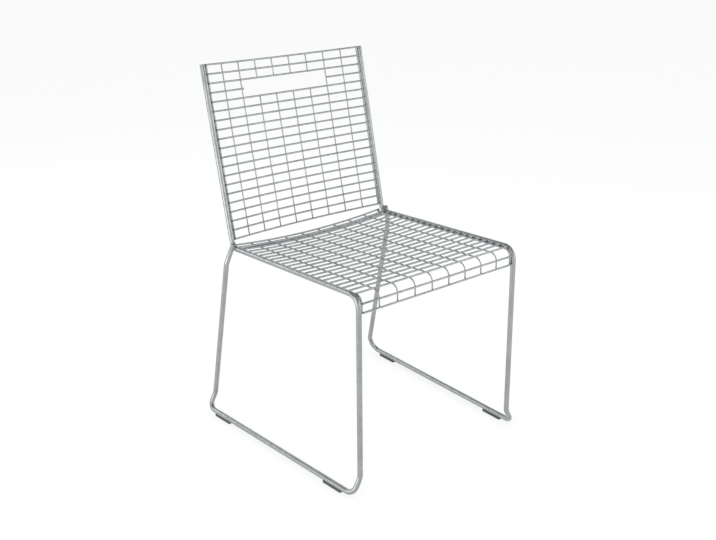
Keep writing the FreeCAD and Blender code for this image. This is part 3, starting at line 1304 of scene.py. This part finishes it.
@dataclass
class BackMesh:
    """The bowed wire mesh of the back, with its hand slot.

    Attributes:
        lines: The chair's shared sizes.
        slot_wire: Number of the cross wire that the slot interrupts, from the top.
        slot_whole_columns: Lengthwise wires on each side that run past the slot.
        slot_stub: Length of the interrupted wire past the last whole one.
        bow_runs: Runs of a bowed wire.
        stub_runs: Runs of a stub.
        ring_points: Points around a wire.
    """

    lines: ChairLines
    slot_wire: int = 4
    slot_whole_columns: int = 2
    slot_stub: float = 2.5
    bow_runs: int = 48
    stub_runs: int = 18
    ring_points: int = 16

    def wire_middle(self, number: int) -> Vector:
        """Find the middle of a cross wire's chord.

        Args:
            number: Number of the wire; 1 is the top wire.

        Returns:
            The point.
        """
        line = self.lines
        rise = line.back_first_rise + (line.back_wire_count - number) * line.back_pitch
        return line.rear_corner + line.up_back * rise + line.off_back * line.cross_lift

    def bow(self, x: float) -> float:
        """Return how far the mesh lies behind its chord at x."""
        return bow_at(x, self.lines.back_bow, self.lines.mesh_half_width)

    def outward(self, x: float) -> Vector:
        """Find the direction square to the bowed mesh, away from the sitter.

        Args:
            x: Place across the chair.

        Returns:
            The direction, of length 1.
        """
        line = self.lines
        radius = (line.mesh_half_width ** 2 + line.back_bow ** 2) / (2 * line.back_bow)
        return (Vector((x, 0, 0)) - line.off_back * math.sqrt(radius ** 2 - x ** 2)).normalized()

    def side_wires(self) -> list[Bar]:
        """Lay out the wires beside the mesh.

        Returns:
            Their paths and girths.
        """
        line = self.lines
        low = line.rear_corner + line.up_back * (line.back_first_rise - line.cross_wire_radius)
        high = line.rear_corner + line.up_back * line.upright_length
        paths = []
        for side in Side:
            x = side.value * line.side_wire_x
            path = divided([at_x(low, x), at_x(high, x)], LONGEST_RUN)
            paths.append(eased_ends(path, line.side_wire_radius))
        return paths

    def stubs(self) -> list[Bar]:
        """Lay out the two stubs of the interrupted wire.

        Returns:
            Their paths and girths.
        """
        line = self.lines
        stop = -line.column_x(self.slot_whole_columns) - self.slot_stub
        middle = self.wire_middle(self.slot_wire)
        paths = []
        for side in Side:
            path = []
            for index in range(self.stub_runs + 1):
                share = index / self.stub_runs
                x = side.value * (line.mesh_half_width + (stop - line.mesh_half_width) * share)
                path.append(middle + Vector((x, 0, 0)) - line.off_back * self.bow(x))
            paths.append(eased_ends(path, line.cross_wire_radius, start=False))
        return paths

    def spans(self, column: int) -> list[tuple[int, int]]:
        """Find the runs of a lengthwise wire, which the hand slot may part.

        Args:
            column: Number of the wire, from the left.

        Returns:
            The first and last cross wire of each run.
        """
        count = self.lines.back_wire_count
        if self.slot_whole_columns < column < self.lines.columns - self.slot_whole_columns:
            return [(1, self.slot_wire - 1), (self.slot_wire + 1, count)]
        return [(1, count)]

    def long_wires(self) -> list[Bar]:
        """Lay out the wires behind the cross wires.

        Returns:
            Their paths and girths.
        """
        line = self.lines
        paths = []
        for column in range(1, line.columns):
            x = line.column_x(column)
            bowed_place = Vector((x, 0, 0)) - line.off_back * self.bow(x)
            shift = bowed_place + self.outward(x) * line.long_gap
            for upper, lower in self.spans(column):
                high = self.wire_middle(upper) + line.up_back * line.cross_wire_radius + shift
                low = self.wire_middle(lower) - line.up_back * line.cross_wire_radius + shift
                paths.append(eased_ends(divided([low, high], LONGEST_RUN), line.long_wire_radius))
        return paths

    def crossings(self) -> list[Spot]:
        """Find the welds where lengthwise wires cross the cross wires.

        Returns:
            The weld spots.
        """
        line = self.lines
        spots = []
        for column in range(1, line.columns):
            x = line.column_x(column)
            out = self.outward(x)
            across = out.cross(line.up_back).normalized()
            for upper, lower in self.spans(column):
                for number in range(upper, lower + 1):
                    middle = self.wire_middle(number) + Vector((x, 0, 0))
                    place = middle - line.off_back * self.bow(x) + out * line.weld_depth
                    spots.append((place, across, out))
        return spots

    def side_welds(self) -> list[Spot]:
        """Find the welds of the cross wires on the side wires.

        Returns:
            The weld spots.
        """
        line = self.lines
        spots = []
        for side in Side:
            for number in range(1, line.back_wire_count + 1):
                middle = self.wire_middle(number) - line.off_back * line.weld_depth
                place = at_x(middle, side.value * line.edge_weld_x)
                spots.append((place, Vector((side.value, 0, 0)), line.off_back))
        return spots

    def make_ladder(self, tree: bpy.types.NodeTree) -> None:
        """Make the bowed cross wires, all but the one that the slot interrupts.

        Args:
            tree: Tree that repeats the bowed wire.
        """
        line = self.lines
        half = line.mesh_half_width
        values = {
            "Radius": line.cross_wire_radius * MM,
            "Ring Points": self.ring_points,
            "Wire Count": line.back_wire_count,
            "Top Wire Middle": self.wire_middle(1) * MM,
            "Step": line.up_back * -line.back_pitch * MM,
            "Left End": Vector((-half, 0, 0)) * MM,
            "Bowed Middle": line.off_back * -line.back_bow * MM,
            "Right End": Vector((half, 0, 0)) * MM,
            "Left Out": self.slot_wire - 1,
            "Bow Points": self.bow_runs + 1,
        }
        carrier = bpy.data.meshes.new("ladder_start")
        piece = made_by("back_cross_wires", carrier, tree, values, WIRE_ZINC)
        numbers = [n for n in range(1, line.back_wire_count + 1) if n != self.slot_wire]
        on_chair(piece, WIRE_ZINC.slot, *["back_cross_wire_%02d" % n for n in numbers])

    def build(self, bars: BarMaker, ladder: bpy.types.NodeTree) -> None:
        """Make the back's wires.

        Args:
            bars: Maker of bars along paths.
            ladder: Tree that repeats the bowed wire.
        """
        line = self.lines
        ring = self.ring_points
        nodes = ["back_side_wire_" + side.word for side in Side]
        bars.make("back_edge_wires", self.side_wires(), (line.side_wire_radius, ring), nodes)
        self.make_ladder(ladder)
        nodes = ["back_cross_wire_%02d" % self.slot_wire]
        bars.make("back_slot_stubs", self.stubs(), (line.cross_wire_radius, ring), nodes)
        nodes = ["back_long_wire_%d" % n for n in range(1, line.columns)]
        bars.make("back_long_wires", self.long_wires(), (line.long_wire_radius, ring), nodes)


@dataclass
class SeatMesh:
    """The sagging wire mesh of the seat, bent down into a short apron.

    Attributes:
        lines: The chair's shared sizes.
        apron_wire_count: Straight wires below the front bend.
        apron_wire_inset: How far their ends stay inside the rods.
        stay_forward: Distance of the rear stay from the rear end of the side wires.
        runs: Runs of a sagging wire.
        ring_points: Points around a wire.
    """

    lines: ChairLines
    apron_wire_count: int = 2
    apron_wire_inset: float = 2.5
    stay_forward: float = 9.0
    runs: int = 40
    ring_points: int = 16

    def rear_end(self, lift: float) -> Vector:
        """Return the rear end of a line that runs the lift above the side wires' axis."""
        line = self.lines
        return line.mesh_rear - line.along_mesh * line.seat_overhang + line.off_mesh * lift

    def bend_corner(self, lift: float) -> Vector:
        """Find the corner where a line of the mesh turns down into the apron.

        Args:
            lift: Height of the line over the side wires' axis.

        Returns:
            The corner.
        """
        line = self.lines
        spread_out = line.along_mesh * math.tan(line.mesh_turn / 2) + line.off_mesh
        return line.mesh_corner + spread_out * lift

    def place(self, number: int) -> float:
        """Measure how far a seat or apron wire lies from the rear one.

        Args:
            number: Number of the wire; 1 is the rear wire.

        Returns:
            The distance along the mesh.
        """
        line = self.lines
        last = line.seat_wire_count + self.apron_wire_count
        if number == last:
            return (last - 2) * line.seat_pitch + line.apron_last_pitch
        return (number - 1) * line.seat_pitch

    def frame_at(self, number: int, lift: float) -> tuple[Vector, Vector]:
        """Find where a wire lies on a line of the mesh.

        Args:
            number: Number of the wire; 1 is the rear wire.
            lift: Height of the line over the side wires' axis.

        Returns:
            The point and the outward direction there.
        """
        line = self.lines
        distance = self.place(number)
        corner = self.bend_corner(lift)
        reach = (line.mesh_bend_radius + lift) * math.tan(line.mesh_turn / 2)
        straight = (corner - self.rear_end(lift)).length - reach
        angle = (distance - straight) / line.mesh_bend_radius
        if angle <= 0:
            return self.rear_end(lift) + line.along_mesh * distance, line.off_mesh
        if angle >= line.mesh_turn:
            fall = distance - straight - line.mesh_bend_radius * line.mesh_turn
            return corner + line.down_leg * (reach + fall), line.off_leg
        radius = line.mesh_bend_radius + lift
        centre = corner - line.along_mesh * reach - line.off_mesh * radius
        outward = line.off_mesh * math.cos(angle) + line.along_mesh * math.sin(angle)
        return centre + outward * radius, outward

    def sag(self, number: int) -> float:
        """Return the sag of a cross wire, which fades towards the front corner."""
        full_run = (self.bend_corner(0) - self.rear_end(0)).length
        return self.lines.seat_sag * max(0.0, 1 - self.place(number) / full_run)

    def lengthwise(self, x: float, lift: float, drop: float, radius: float) -> Bar:
        """Return the path of a wire along the seat, over the bend and down the apron.

        Args:
            x: Place across the chair.
            lift: Height over the side wires' axis.
            drop: Extra depth of its rear end.
            radius: Radius of the wire.

        Returns:
            The path with eased ends, and its girths.
        """
        line = self.lines
        foot = self.frame_at(line.seat_wire_count + self.apron_wire_count, lift)[0]
        rear = self.rear_end(lift) - line.along_mesh * line.cross_wire_radius - line.off_mesh * drop
        points = [
            at_x(rear, x),
            at_x(self.bend_corner(lift), x),
            at_x(foot + line.down_leg * line.cross_wire_radius, x),
        ]
        path = divided(filleted(points, [line.mesh_bend_radius + lift]), LONGEST_RUN)
        return eased_ends(path, radius)

    def cross_wires(self) -> list[Bar]:
        """Lay out the sagging cross wires.

        Returns:
            Their paths and girths.
        """
        line = self.lines
        paths = []
        for number in range(1, line.seat_wire_count + 1):
            middle, out = self.frame_at(number, line.cross_lift)
            path = bowed(line.mesh_half_width, self.sag(number), out, middle, self.runs)
            paths.append((path, [1.0] * len(path)))
        return paths

    def apron_wires(self) -> list[Bar]:
        """Lay out the straight wires below the bend.

        Returns:
            Their paths and girths.
        """
        line = self.lines
        half = line.mesh_half_width - self.apron_wire_inset
        paths = []
        for number in range(1, self.apron_wire_count + 1):
            middle = self.frame_at(line.seat_wire_count + number, line.cross_lift)[0]
            path = divided([at_x(middle, -half), at_x(middle, half)], LONGEST_RUN)
            paths.append(eased_ends(path, line.cross_wire_radius))
        return paths

    def stay(self) -> Bar:
        """Lay out the stay under the rear of the seat.

        Returns:
            Its path and girths.
        """
        line = self.lines
        below = line.side_wire_radius + line.stay_radius - line.weld_sink
        middle = self.rear_end(-below) + line.along_mesh * self.stay_forward
        long_lift = line.cross_lift - line.long_gap
        slack = below + long_lift - (line.long_wire_radius + line.stay_radius - line.weld_sink)
        share = 1 - self.stay_forward / self.place(line.seat_wire_count)
        sag = line.seat_sag * share - slack
        path = bowed(line.mesh_half_width, sag, line.off_mesh, middle, self.runs)
        return path, [1.0] * len(path)

    def crossings(self) -> list[Spot]:
        """Find the welds where lengthwise wires cross the seat and apron wires.

        Returns:
            The weld spots.
        """
        line = self.lines
        spots = []
        last = line.seat_wire_count + self.apron_wire_count
        for number in range(1, last + 1):
            middle, out = self.frame_at(number, line.cross_lift)
            sag = self.sag(number) if number <= line.seat_wire_count else 0.0
            for column in range(1, line.columns):
                x = line.column_x(column)
                depth = bow_at(x, sag, line.mesh_half_width) + line.weld_depth
                spots.append((middle + Vector((x, 0, 0)) - out * depth, Vector((1, 0, 0)), -out))
        return spots

    def side_welds(self) -> list[Spot]:
        """Find the welds of the cross wires on the side wires.

        Returns:
            The weld spots.
        """
        line = self.lines
        spots = []
        last = line.seat_wire_count + self.apron_wire_count
        for side in Side:
            for number in range(1, last + 1):
                middle, out = self.frame_at(number, line.cross_lift)
                place = at_x(middle - out * line.weld_depth, side.value * line.edge_weld_x)
                spots.append((place, Vector((side.value, 0, 0)), out))
        return spots

    def side_wires(self) -> list[Bar]:
        """Lay out the wires beside the mesh.

        Returns:
            Their paths and girths.
        """
        line = self.lines
        radius = line.side_wire_radius
        return [self.lengthwise(side.value * line.side_wire_x, 0.0, 0.0, radius) for side in Side]

    def long_wires(self) -> list[Bar]:
        """Lay out the wires under the cross wires.

        Returns:
            Their paths and girths.
        """
        line = self.lines
        lift = line.cross_lift - line.long_gap
        paths = []
        for column in range(1, line.columns):
            x = line.column_x(column)
            drop = bow_at(x, line.seat_sag, line.mesh_half_width)
            paths.append(self.lengthwise(x, lift, drop, line.long_wire_radius))
        return paths

    def build(self, bars: BarMaker) -> None:
        """Make the seat's wires.

        Args:
            bars: Maker of bars along paths.
        """
        line = self.lines
        ring = self.ring_points
        cross = (line.cross_wire_radius, ring)
        nodes = ["seat_side_wire_" + side.word for side in Side]
        bars.make("seat_edge_wires", self.side_wires(), (line.side_wire_radius, ring), nodes)
        pairs = range(1, line.seat_wire_count, 2)
        nodes = ["seat_cross_wires_%02d_%02d" % (n, n + 1) for n in pairs]
        bars.make("seat_cross_wires", self.cross_wires(), cross, nodes)
        nodes = ["apron_wire_%d" % n for n in range(1, self.apron_wire_count + 1)]
        bars.make("apron_cross_wires", self.apron_wires(), cross, nodes)
        nodes = ["seat_long_wire_%d" % n for n in range(1, line.columns)]
        bars.make("seat_long_wires", self.long_wires(), (line.long_wire_radius, ring), nodes)
        bars.make("seat_rear_stay", [self.stay()], (line.stay_radius, ring), ["rear_seat_stay"])


@dataclass
class MeshWelds:
    """The resistance welds of the mesh wires.

    Attributes:
        back: The back's wires.
        seat: The seat's wires.
    """

    back: BackMesh
    seat: SeatMesh

    def build(self, beads: bpy.types.NodeTree) -> None:
        """Make the small beads at every crossing of wires.

        Args:
            beads: Tree that sets weld beads.
        """
        CROSSING_BEAD.set_on("back_crossing_welds", self.back.crossings(), beads)
        CROSSING_BEAD.set_on("seat_crossing_welds", self.seat.crossings(), beads)
        EDGE_BEAD.set_on("back_edge_welds", self.back.side_welds(), beads)
        EDGE_BEAD.set_on("seat_edge_welds", self.seat.side_welds(), beads)


@dataclass
class FloorShoes:
    """The four saddle shoes under the floor rails.

    Attributes:
        frames: The rods that they carry.
        length: Length of a shoe.
        width: Width of a shoe.
        clearance: Gap between shoe and rod.
        foot_chamfer: Radius of the lower long edges.
        front_offset: Distance of a front shoe from the rail's front corner.
        rear_offset: Distance of a rear shoe from the rail's rear corner.
        end_ease: Radius of the vertical corners at both ends.
        seat_share: Share of the clearance that lies between rod and trough.
        lip: Width of the flat lip beside the trough.
        lip_ease: Sideways place and depth of the two points that break the lip's edge.
        chamfer_steps: Steps of the rounded lower edge.
        trough_steps: Steps of the trough's arc.
        end_steps: Steps of the rounded ends.
    """

    frames: SideFrames
    length: float = 55.0
    width: float = 10.4
    clearance: float = 0.3
    foot_chamfer: float = 1.5
    front_offset: float = 36.0
    rear_offset: float = 31.0
    end_ease: float = 2.2
    seat_share: float = 0.4
    lip: float = 0.5
    lip_ease: tuple[tuple[float, float], ...] = ((0.0, 0.45), (0.12, 0.1))
    chamfer_steps: int = 4
    trough_steps: int = 14
    end_steps: int = 5

    def section(self, narrowing: float) -> list[tuple[float, float]]:
        """Return the shoe's section, as sideways place and height above the floor.

        Args:
            narrowing: How much each side is drawn in there.

        Returns:
            The corners of the section, in order.
        """
        half = self.width / 2 - narrowing
        axis = self.frames.floor_rail_height
        bore = self.frames.lines.rod_radius + self.clearance * self.seat_share
        turn = math.asin((half - self.lip) / bore)
        outline = []
        for step in range(self.chamfer_steps + 1):
            angle = math.radians(90 * step / self.chamfer_steps)
            outline.append((
                -half + self.foot_chamfer * (1 - math.cos(angle)),
                self.foot_chamfer * (1 - math.sin(angle)),
            ))
        trough = []
        for step in range(self.trough_steps + 1):
            angle = turn * (1 - 2 * step / self.trough_steps)
            trough.append((bore * math.sin(angle), axis - bore * math.cos(angle)))
        edge = trough[0][1]
        shoulder = [(half - inward, edge - depth) for inward, depth in self.lip_ease]
        return outline + mirrored(outline) + shoulder + trough + mirrored(shoulder)

    def stations(self) -> list[tuple[float, float]]:
        """Place the sections that the shoe's form runs through.

        Returns:
            Distance from the front end and narrowing of each section.
        """
        front_end = []
        for step in range(self.end_steps + 1):
            angle = math.radians(90 * (1 - step / self.end_steps))
            depth = self.end_ease * (1 - math.sin(angle))
            front_end.append((depth, self.end_ease * (1 - math.cos(angle))))
        return front_end + [(self.length - depth, inward) for depth, inward in reversed(front_end)]

    def shape(self, side: Side, end: End) -> bpy.types.Mesh:
        """Make one shoe's mesh, in metres.

        Args:
            side: Side of the chair.
            end: End of the floor rail.

        Returns:
            The closed mesh.
        """
        line = self.frames.lines
        sign = side.value
        front = line.at(sign * self.frames.rail_front[1], self.frames.rail_front[0], 0.0)
        rear = line.at(sign * self.frames.rail_rear[1], self.frames.rail_rear[0], 0.0)
        along = (rear - front).normalized()
        across = along.cross(Vector((0, 0, 1)))
        start = front + along * self.front_offset
        if end is End.REAR:
            start = rear - along * (self.rear_offset + self.length)
        form = bmesh.new()
        rings = []
        for distance, narrowing in self.stations():
            ring = []
            for sideways, height in self.section(narrowing):
                place = start + along * distance + across * sideways + Vector((0, 0, height))
                ring.append(form.verts.new(place * MM))
            rings.append(ring)
        for ring, following in zip(rings, rings[1:]):
            for index in range(len(ring)):
                other = (index + 1) % len(ring)
                form.faces.new((ring[index], ring[other], following[other], following[index]))
        form.faces.new(rings[0])
        form.faces.new(list(reversed(rings[-1])))
        bmesh.ops.recalc_face_normals(form, faces=form.faces)
        for face in form.faces:
            face.smooth = True
        mesh = bpy.data.meshes.new("floor_shoe_%s_%s" % (end.value, side.word))
        form.to_mesh(mesh)
        form.free()
        return mesh

    def build(self) -> None:
        """Make the four shoes."""
        for side in Side:
            for end in End:
                mesh = self.shape(side, end)
                piece = as_piece(mesh.name, mesh, SHOE_GREY)
                on_chair(piece, SHOE_GREY.slot, "glide_%s_%s" % (end.value, side.word))


# Studio

def looked_at(tree: bpy.types.NodeTree) -> bpy.types.NodeSocket:
    """Return 1 for the rays that see the backdrop: those of the camera, of gloss and of glass.

    Args:
        tree: The node tree to add to.

    Returns:
        The socket that holds 1 or 0.
    """
    rays = added(tree, "ShaderNodeLightPath")
    seen = rays.outputs["Is Camera Ray"]
    for kind in ("Is Glossy Ray", "Is Transmission Ray"):
        pair = {0: seen, 1: rays.outputs[kind]}
        seen = added(tree, "ShaderNodeMath", pair, operation="MAXIMUM").outputs["Value"]
    return seen


@dataclass(frozen=True)
class Lamp:
    """One soft lamp that points at the chair and that the camera doesn't see.

    Attributes:
        name: Name of the lamp.
        place: Where it hangs, in metres.
        size: Its width and height, in metres.
        power: Its power, in watts.
    """

    name: str
    place: tuple[float, float, float]
    size: tuple[float, float]
    power: float

    def hang(self, aim: tuple[float, float, float]) -> None:
        """Hang the lamp.

        Args:
            aim: Point that it faces, in metres.
        """
        data = bpy.data.lights.new(self.name, "AREA")
        data.shape = "RECTANGLE"
        data.size, data.size_y = self.size
        data.energy = self.power
        lamp = bpy.data.objects.new(self.name, data)
        lamp.location = self.place
        toward = Vector(aim) - Vector(self.place)
        lamp.rotation_euler = toward.to_track_quat("-Z", "Y").to_euler()
        lamp.visible_camera = False
        bpy.context.scene.collection.objects.link(lamp)


@dataclass
class Studio:
    """Pale floor, soft lamps and the camera at the photograph's angle.

    Attributes:
        lines: The chair's shared sizes.
        azimuth: Camera azimuth in degrees; 0 looks along +Y.
        elevation: Camera elevation in degrees.
        distance: Distance of the camera from its target, in metres.
        target: Point that the camera looks at, in the first datum, in millimetres.
        lens: Focal length in millimetres.
        sensor: Width of the camera's sensor, in millimetres.
        sight: How far the camera sees, in metres.
        floor_reach: Half width of the floor, in metres.
        floor_grey: Brightness of the floor as the chair sees it.
        floor_glow: Share of white that the camera sees on top of the floor's own shade.
        ambient: Strength of the even light from all round.
        ambient_tint: Colour of that light.
        ceiling_line: Sines of the elevations between which the backdrop darkens.
        ceiling: Colour of the backdrop overhead.
        lamp_aim: Point that the lamps face, in metres.
        lamps: The soft lamps.
    """

    lines: ChairLines
    azimuth: float = -40.05
    elevation: float = 20.43
    distance: float = 2.218
    target: tuple[float, float, float] = (-23.6, 0.0, 377.7)
    lens: float = 50.73
    sensor: float = 36.0
    sight: float = 200.0
    floor_reach: float = 30.0
    floor_grey: float = 0.86
    floor_glow: float = 0.72
    ambient: float = 0.86
    ambient_tint: tuple[float, float, float] = (0.97, 0.985, 1.0)
    ceiling_line: tuple[float, float] = (0.28, 0.72)
    ceiling: tuple[float, float, float] = (0.26, 0.27, 0.28)
    lamp_aim: tuple[float, float, float] = (0.0, 0.0, 0.42)
    lamps: tuple[Lamp, ...] = (
        Lamp("key_softbox", (-2.2, -1.2, 2.4), (0.9, 1.8), 14.0),
        Lamp("low_side_softbox", (-1.9, 0.15, 0.42), (1.6, 0.8), 8.0),
        Lamp("front_softbox", (0.9, -2.4, 0.65), (1.3, 1.1), 7.0),
        Lamp("fill_softbox", (2.1, -1.8, 1.7), (1.1, 1.4), 11.0),
        Lamp("back_left_softbox", (-1.3, 2.0, 1.35), (1.3, 0.6), 6.0),
        Lamp("rear_softbox", (0.6, 2.4, 2.2), (1.6, 0.6), 5.0),
    )

    def floor(self) -> None:
        """Lay the floor, which keeps the chair's shadow and looks white to the camera."""
        mesh = bpy.data.meshes.new("studio_floor")
        reach = self.floor_reach
        corners = [(-reach, -reach, 0), (reach, -reach, 0), (reach, reach, 0), (-reach, reach, 0)]
        mesh.from_pydata(corners, [], [(0, 1, 2, 3)])
        material = bpy.data.materials.new("studio_floor")
        material.use_nodes = True
        tree = material.node_tree
        tree.nodes.clear()
        seen = looked_at(tree)
        shades = {"Factor": seen, "A": (*(self.floor_grey,) * 3, 1), "B": WHITE}
        tone = added(tree, "ShaderNodeMix", shades, data_type="RGBA")
        matte = added(tree, "ShaderNodeBsdfDiffuse", {"Color": tone.outputs["Result"]})
        glow = added(tree, "ShaderNodeEmission", {"Color": WHITE, "Strength": 1.0})
        share = added(tree, "ShaderNodeMath", {0: seen, 1: self.floor_glow}, operation="MULTIPLY")
        blend = added(tree, "ShaderNodeMixShader", {
            "Fac": share.outputs["Value"],
            1: matte.outputs["BSDF"],
            2: glow.outputs["Emission"],
        })
        added(tree, "ShaderNodeOutputMaterial", {"Surface": blend.outputs["Shader"]})
        mesh.materials.append(material)
        floor = bpy.data.objects.new("studio_floor", mesh)
        bpy.context.scene.collection.objects.link(floor)
        floor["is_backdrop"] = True

    def world(self) -> None:
        """Light the chair evenly, with a white backdrop whose ceiling is dim.

        The camera, gloss and glass all see the same backdrop: white up to the ceiling line and
        darker overhead, as in a studio with a pale cove under a dark roof.
        """
        world = bpy.data.worlds.new("studio_world")
        bpy.context.scene.world = world
        world.use_nodes = True
        tree = world.node_tree
        tree.nodes.clear()
        tint = (*self.ambient_tint, 1)
        soft = added(tree, "ShaderNodeBackground", {"Color": tint, "Strength": self.ambient})
        place = added(tree, "ShaderNodeTexCoord").outputs["Generated"]
        split = added(tree, "ShaderNodeSeparateXYZ", {"Vector": place})
        height = spread(tree, split.outputs["Z"], 0.0, 1.0, self.ceiling_line)
        cove = tinted(tree, height, WHITE[:3], self.ceiling)
        backdrop = added(tree, "ShaderNodeBackground", {"Color": cove, "Strength": 1.0})
        blend = added(tree, "ShaderNodeMixShader", {
            "Fac": looked_at(tree),
            1: soft.outputs["Background"],
            2: backdrop.outputs["Background"],
        })
        added(tree, "ShaderNodeOutputWorld", {"Surface": blend.outputs["Shader"]})

    def camera(self) -> None:
        """Place the camera at the photograph's viewing angle."""
        turn = math.radians(self.azimuth)
        rise = math.radians(self.elevation)
        target = self.lines.at(*self.target) * MM
        level = math.cos(rise)
        toward = Vector((-math.sin(turn) * level, math.cos(turn) * level, -math.sin(rise)))
        data = bpy.data.cameras.new("photo_camera")
        data.lens = self.lens
        data.sensor_width = self.sensor
        data.clip_end = self.sight
        camera = bpy.data.objects.new("photo_camera", data)
        camera.location = target - toward * self.distance
        camera.rotation_euler = toward.to_track_quat("-Z", "Y").to_euler()
        bpy.context.scene.collection.objects.link(camera)
        bpy.context.scene.camera = camera

    def build(self) -> None:
        """Set up floor, world, camera and lamps."""
        self.floor()
        self.world()
        self.camera()
        for lamp in self.lamps:
            lamp.hang(self.lamp_aim)
        bpy.context.scene.view_settings.view_transform = "Standard"


def main() -> None:
    """Build the chair's sub-assemblies in order and set up the studio."""
    logging.basicConfig(level=logging.INFO, format="%(message)s")
    lines = ChairLines()
    bars = BarMaker(bars_tree())
    ladder = ladder_tree()
    beads = beads_tree()
    frames = SideFrames(lines)
    frames.build(bars, beads)
    back = BackMesh(lines)
    back.build(bars, ladder)
    seat = SeatMesh(lines)
    seat.build(bars)
    MeshWelds(back, seat).build(beads)
    FloorShoes(frames).build()
    Studio(lines).build()
    boxes = {"cad": CAD_BOX, "visual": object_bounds()}
    plain = {title: [[float(number) for number in corner] for corner in box] for title, box in boxes.items()}
    LOG.info("CAD box %s", plain["cad"])
    LOG.info("visual box %s", plain["visual"])


if __name__ == "__main__":
    main()
